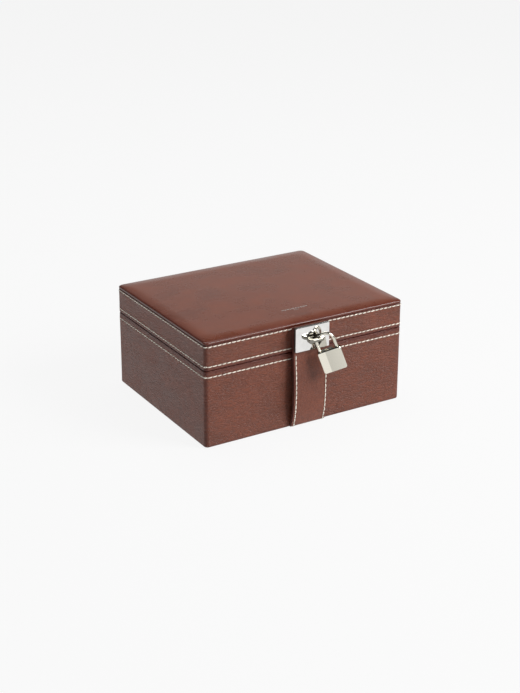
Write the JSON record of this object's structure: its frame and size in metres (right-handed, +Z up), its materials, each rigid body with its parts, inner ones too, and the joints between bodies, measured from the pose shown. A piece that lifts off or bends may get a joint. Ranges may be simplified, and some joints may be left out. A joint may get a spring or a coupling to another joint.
{
  "type": "jewellery case",
  "caption": "Leather-covered rectangular jewellery case with a hinged padded lid, fitted suede interior, and a front strap with a metal lock plate, eye and small padlock.",
  "frame": {"origin": "middle of the case body's underside, on the surface it stands on", "axes": "+X right along the front, +Y from the front to the back, +Z up"},
  "size_m": [0.22, 0.2149, 0.106],
  "materials": {
    "brown_leather": "satin pebbled, reddish brown",
    "dark_leather": "matt, dark brown",
    "frame_leather": "satin, reddish brown",
    "suede": "soft suede, light brown",
    "board": "plain fibreboard",
    "foam": "soft foam",
    "mirror_glass": "clear",
    "polished_nickel": "mirror polished",
    "steel": "satin nickel plated",
    "brass": "turned"
  },
  "bodies": {
    "base": {"base_back_board": "board", "base_floor_board": "board", "base_floor_pad": "suede", "base_front_board": "board", "base_leather_wrap": "brown_leather", "base_left_board": "board", "base_lining_back": "suede", "base_lining_front": "suede", "base_lining_left": "suede", "base_lining_right": "suede", "base_right_board": "board", "base_underside_panel": "dark_leather", "divider_back_left": "suede", "divider_back_right": "suede", "divider_front": "suede", "divider_long": "suede", "hinge_base_leaf_left": "steel", "hinge_base_leaf_right": "steel", "hinge_pin_left": "steel", "hinge_pin_right": "steel", "hinge_screws_base": "steel", "ring_bed": "suede", "ring_roll_1": "suede", "ring_roll_2": "suede", "ring_roll_3": "suede", "ring_roll_4": "suede", "strap_tacks": "steel", "strap_tail": "dark_leather"},
    "lid": {"hinge_lid_leaf_left": "steel", "hinge_lid_leaf_right": "steel", "hinge_screws_lid": "steel", "lid_back_board": "board", "lid_foam_pad": "foam", "lid_front_board": "board", "lid_headliner": "suede", "lid_left_board": "board", "lid_lining_strip": "suede", "lid_mirror": "mirror_glass", "lid_mirror_frame": "frame_leather", "lid_right_board": "board", "lid_side_leather": "brown_leather", "lid_top_board": "board", "lid_top_leather": "brown_leather", "striker_plate": "steel", "striker_screws": "steel"},
    "strap": {"strap_leather_outer": "brown_leather", "strap_leather_lining": "dark_leather", "strap_end_pad": "dark_leather", "lock_plate": "polished_nickel", "lock_plate_backing": "steel", "lock_plate_screws": "steel", "strap_magnets": "steel", "staple_eye": "polished_nickel"},
    "shackle": {"padlock_shackle": "polished_nickel"},
    "padlock": {"padlock_case": "polished_nickel", "padlock_back_plate": "polished_nickel", "padlock_pivot_pin": "brass"},
    "plug": {"padlock_plug": "brass"},
    "bolt": {"padlock_bolt": "brass"}
  },
  "joints": [
    {"name": "lid_hinge", "type": "hinge", "parent": "base", "child": "lid", "pos_m": [0, 0.0927, 0.0768], "axis": [-1, 0, 0], "range_deg": [0, 100]},
    {"name": "strap_swing", "type": "hinge", "parent": "base", "child": "strap", "pos_m": [0, -0.0915, 0.0021], "axis": [1, 0, 0], "range_deg": [0, 68]},
    {"name": "padlock_swing", "type": "hinge", "parent": "strap", "child": "shackle", "pos_m": [0.00888, -0.10703, 0.08841], "axis": [-0.5, -0.866, 0], "range_deg": [-18, 45]},
    {"name": "shackle_open", "type": "hinge", "parent": "shackle", "child": "padlock", "pos_m": [0.01914, -0.11295, 0.07985], "axis": [-0.5, -0.866, 0], "range_deg": [0, 65]},
    {"name": "key_turn", "type": "hinge", "parent": "padlock", "child": "plug", "pos_m": [0.01794, -0.11226, 0.05966], "axis": [0.2962, -0.171, -0.9397], "range_deg": [0, 90]},
    {"name": "bolt_slide", "type": "slide", "parent": "padlock", "child": "bolt", "axis": [-0.8138, 0.4698, -0.342], "range_m": [0, 0.00127]}
  ],
  "couplings": [
    {"joint": "key_turn", "follows": "bolt_slide", "rad_per_m": 1234.1}
  ]
}
